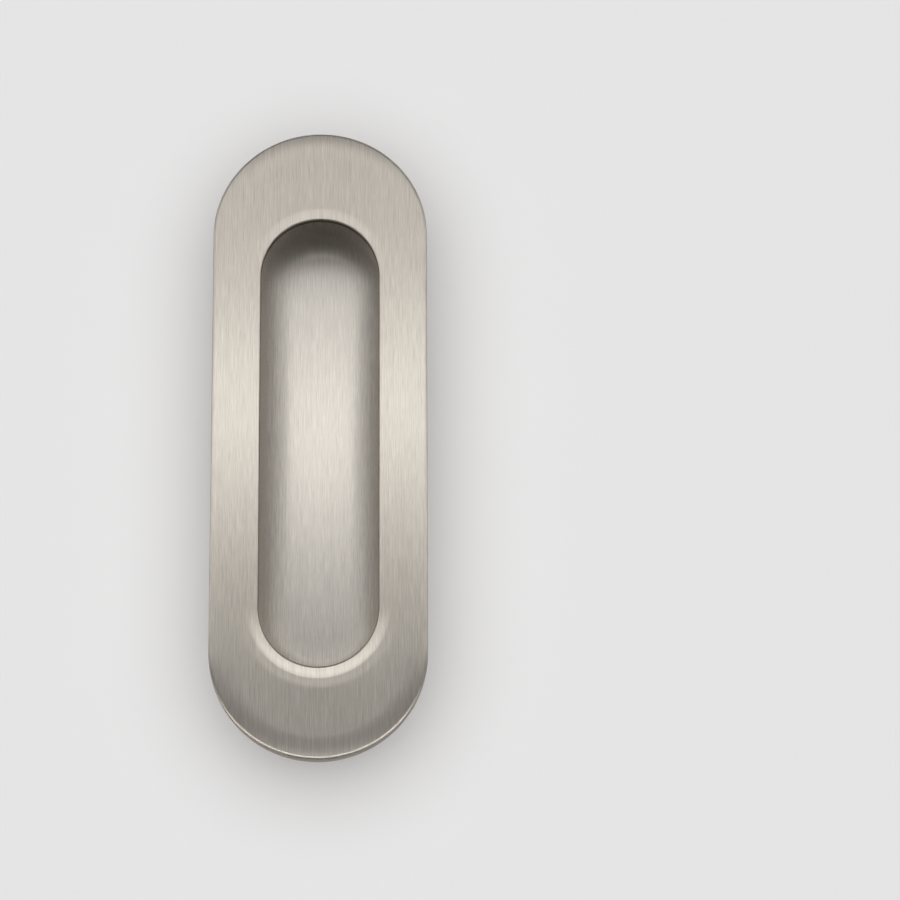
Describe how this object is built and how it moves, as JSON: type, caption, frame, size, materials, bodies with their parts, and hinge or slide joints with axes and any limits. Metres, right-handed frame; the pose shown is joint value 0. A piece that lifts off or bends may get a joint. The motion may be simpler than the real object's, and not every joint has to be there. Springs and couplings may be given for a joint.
{
  "type": "sliding door handle",
  "caption": "Oval flush pull for a sliding door: a brushed finger cup and a cover plate with rolled edges, which clips over the flange and hides the fixing screws.",
  "frame": {"origin": "middle of the handle on the door's surface, halfway between the fixing screws", "axes": "+Z out of the door towards the user, +Y along the handle's length, +X across it"},
  "size_m": [0.04, 0.12, 0.0132],
  "materials": {
    "satin_nickel": "satin nickel plate, brushed along the handle's length",
    "zinc_plate": "bright zinc plate"
  },
  "bodies": {
    "root": {"cover_plate": "satin_nickel", "cup": "satin_nickel", "fixing_screws": "zinc_plate"}
  },
  "joints": []
}
